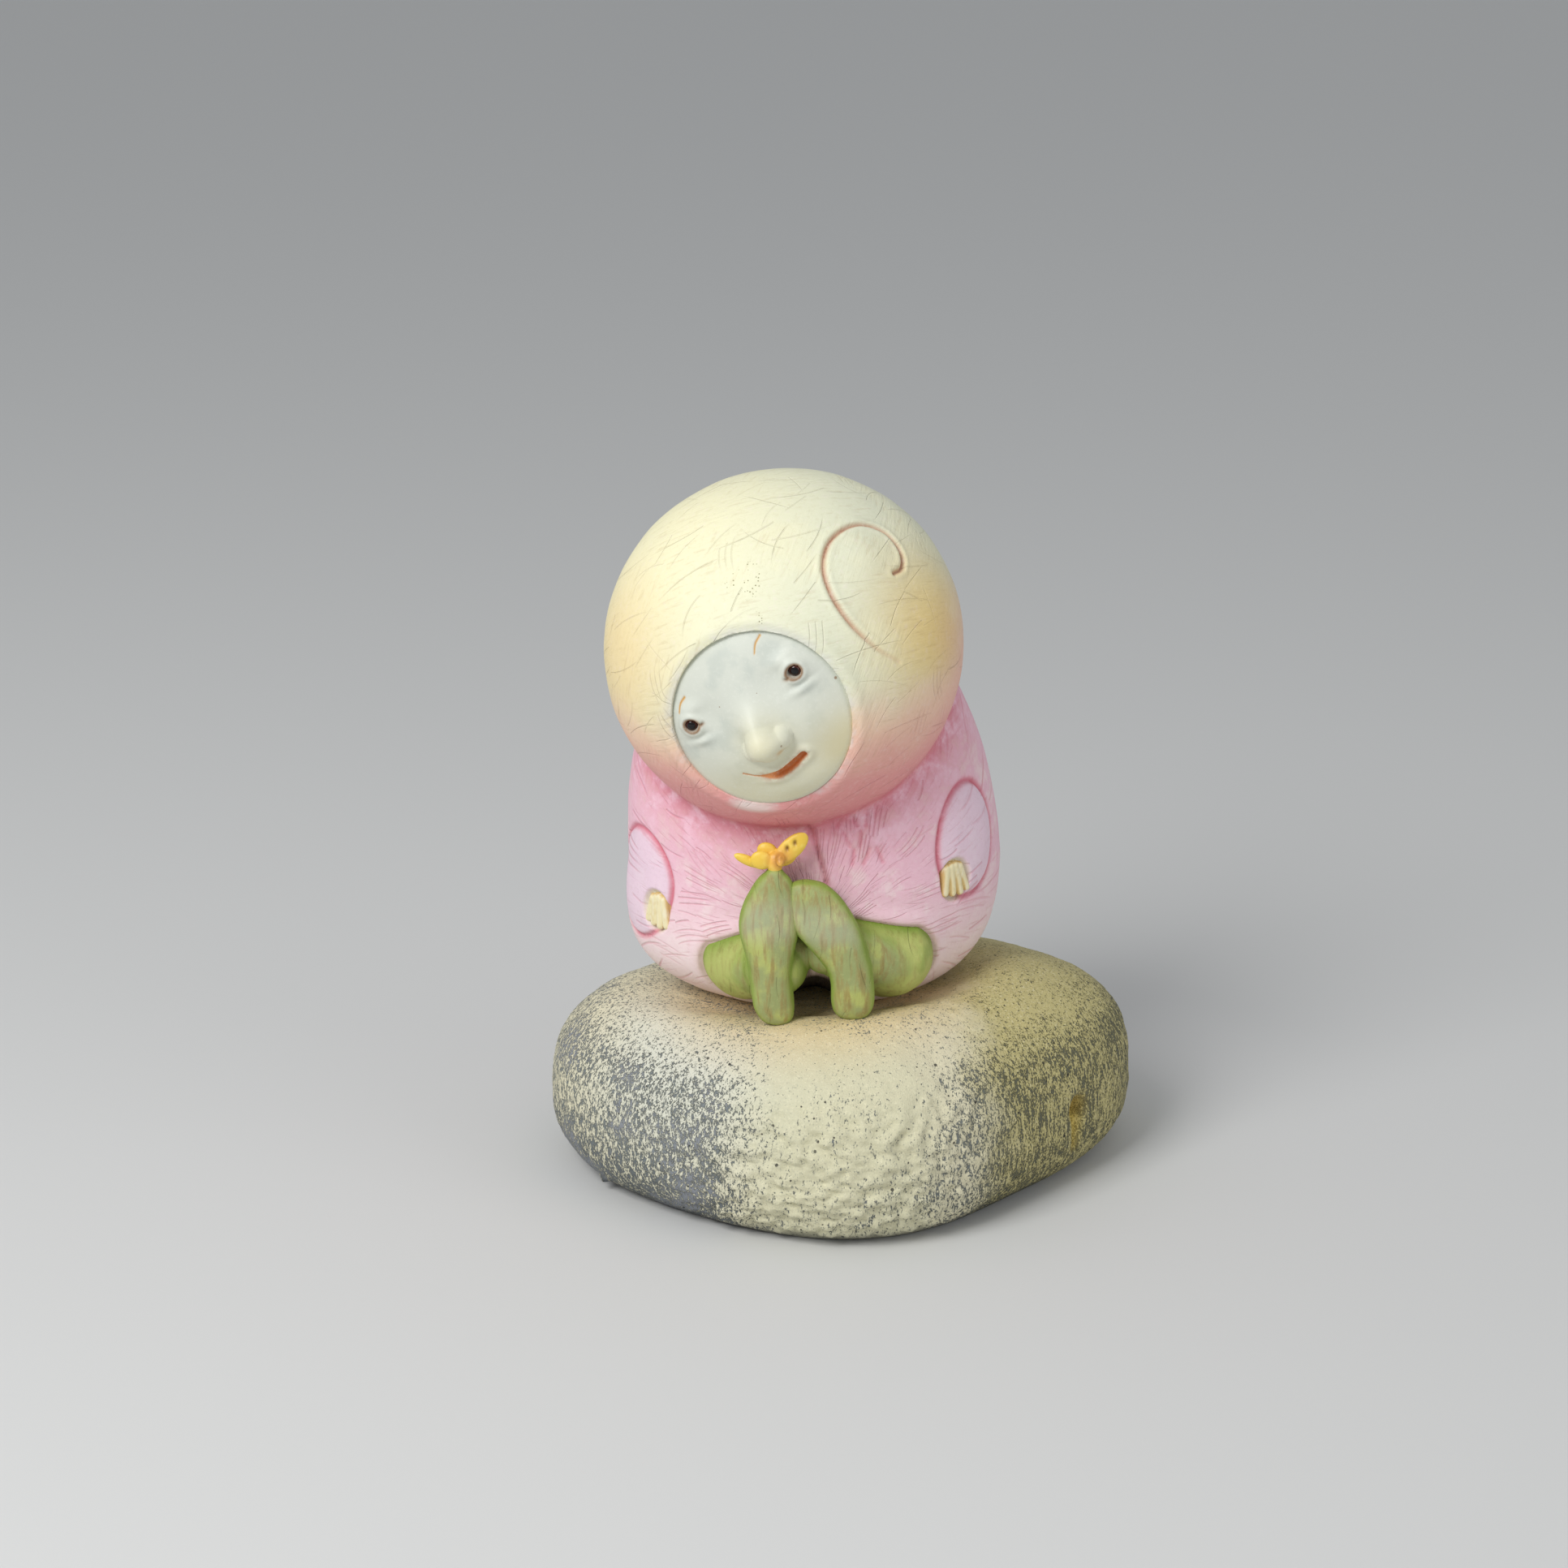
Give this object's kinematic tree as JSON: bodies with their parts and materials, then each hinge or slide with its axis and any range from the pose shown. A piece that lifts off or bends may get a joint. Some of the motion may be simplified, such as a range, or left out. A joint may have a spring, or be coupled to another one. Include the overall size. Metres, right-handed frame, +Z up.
{
  "type": "child figurine",
  "caption": "Painted clay figurine of a child in a round hood, sitting on a flat-bottomed stone, with a butterfly on one toe.",
  "frame": {"origin": "centre of the bounding box at the stone's flat underside", "axes": "+Z up, -Y the way the child looks, +X to the viewer's right"},
  "size_m": [0.2, 0.176, 0.2441],
  "materials": {
    "stoneware": "matt speckled stoneware, cream worn over slate grey",
    "painted_clay": "matt clay washed in cream, pink and green",
    "yellow_clay": "satin yellow glaze",
    "dark_bead": "gloss"
  },
  "bodies": {
    "root": {"stone_base": "stoneware", "child_figure": "painted_clay", "butterfly": "yellow_clay", "left_eye_bead": "dark_bead", "right_eye_bead": "dark_bead"}
  },
  "joints": []
}
